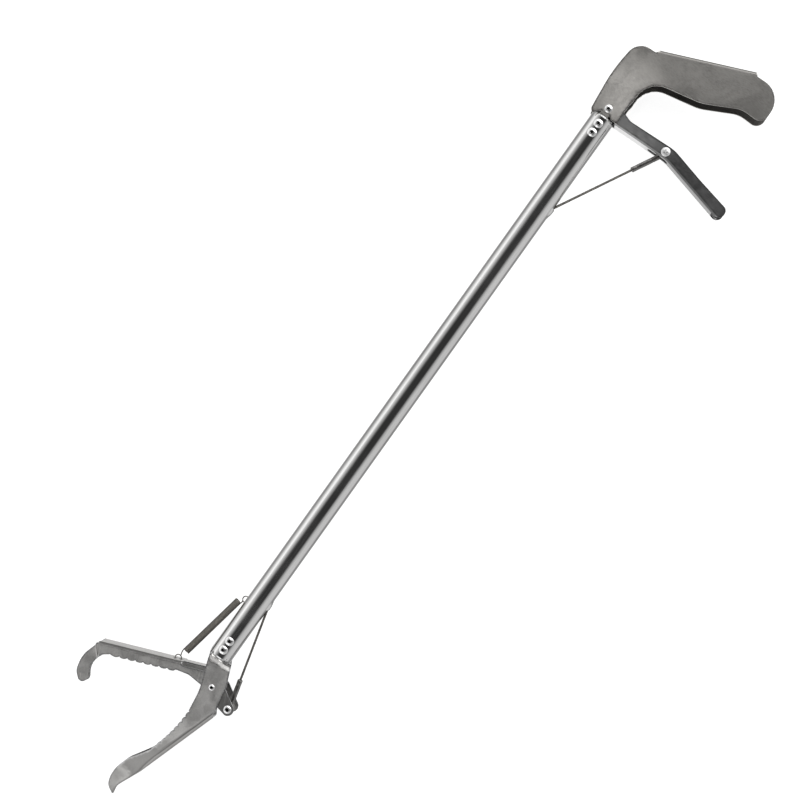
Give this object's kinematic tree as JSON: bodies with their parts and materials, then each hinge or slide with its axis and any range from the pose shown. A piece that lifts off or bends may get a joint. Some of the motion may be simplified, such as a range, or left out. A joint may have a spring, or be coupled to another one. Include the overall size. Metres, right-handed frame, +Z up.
{
  "type": "reacher grabber",
  "caption": "Hand-held reacher: a long round tube whose squeeze handle pulls a cable, so that a hooked, toothed jaw closes against a fixed jaw and springs open again.",
  "frame": {"origin": "under the middle of the outer box, at the lowest point of the tool lying on its side", "axes": "+X along the tube towards the handle, +Y to the side that the jaw opens to, +Z up and along the pivot pins"},
  "size_m": [0.7468, 0.2082, 0.0226],
  "materials": {
    "tube": "polished",
    "handle": "satin",
    "trigger": "satin",
    "jaws": "satin, lightly scratched",
    "rivets": "bright",
    "cable": "stranded wire rope",
    "ferrules": "dull",
    "spring": "dull, drawn wire"
  },
  "bodies": {
    "frame": {"main_tube": "tube", "handle_shell": "handle", "handle_tube_rivets": "rivets", "fixed_jaw": "jaws", "jaw_tube_rivets": "rivets", "trigger_pivot_rivet": "rivets", "jaw_pivot_rivet": "rivets"},
    "trigger": {"trigger": "trigger", "trigger_pivot_bush": "rivets", "trigger_pivot_washers": "rivets", "trigger_cable_rivet": "rivets", "trigger_cable_bush": "rivets"},
    "rear_cable": {"rear_cable": "cable", "rear_ferrule": "ferrules"},
    "inner_cable": {"inner_cable": "cable"},
    "front_cable": {"front_cable": "cable", "front_ferrule": "ferrules"},
    "jaw": {"moving_jaw": "jaws", "jaw_pivot_bush": "rivets", "jaw_pivot_washers": "rivets", "lever_cable_rivet": "rivets", "lever_cable_bush": "rivets"},
    "spring": {"return_spring": "spring", "spring_tube_hook": "spring"},
    "spring_end": {"spring_jaw_hook": "spring"}
  },
  "joints": [
    {"name": "trigger_squeeze", "type": "hinge", "parent": "frame", "child": "trigger", "pos_m": [0.2886, 0.01388, 0.0113], "axis": [0, 0, 1], "range_deg": [0, 17.5], "stiffness_Nm_per_rad": 1.5, "springref_deg": -8.59},
    {"name": "jaw_close", "type": "hinge", "parent": "frame", "child": "jaw", "pos_m": [-0.2536, 0.00408, 0.0113], "axis": [0, 0, 1], "range_deg": [0, 39.91]},
    {"name": "front_cable_swing", "type": "hinge", "parent": "jaw", "child": "front_cable", "pos_m": [-0.2606, -0.01592, 0.0113], "axis": [0, 0, 1], "range_deg": [-36.38, 0]},
    {"name": "rear_cable_swing", "type": "hinge", "parent": "trigger", "child": "rear_cable", "pos_m": [0.2864, -0.04052, 0.0113], "axis": [0, 0, 1], "range_deg": [-12.39, 0]},
    {"name": "cable_pull", "type": "slide", "parent": "frame", "child": "inner_cable", "axis": [1, 0, 0], "range_m": [0, 0.01399]},
    {"name": "spring_swing", "type": "hinge", "parent": "frame", "child": "spring", "pos_m": [-0.184, 0.02348, 0.0113], "axis": [0, 0, 1], "range_deg": [0, 8.67]},
    {"name": "spring_stretch", "type": "slide", "parent": "spring", "child": "spring_end", "axis": [-0.9714, 0.2375, 0], "range_m": [0, 0.0228], "deforming": ["return_spring"]}
  ],
  "couplings": [
    {"joint": "jaw_close", "follows": "trigger_squeeze", "ratio": 2.2778},
    {"joint": "front_cable_swing", "follows": "trigger_squeeze", "ratio": -2.076},
    {"joint": "rear_cable_swing", "follows": "trigger_squeeze", "ratio": -0.70542},
    {"joint": "cable_pull", "follows": "trigger_squeeze", "m_per_rad": 0.045634},
    {"joint": "spring_swing", "follows": "trigger_squeeze", "ratio": 0.4925},
    {"joint": "spring_stretch", "follows": "trigger_squeeze", "m_per_rad": 0.0745}
  ]
}
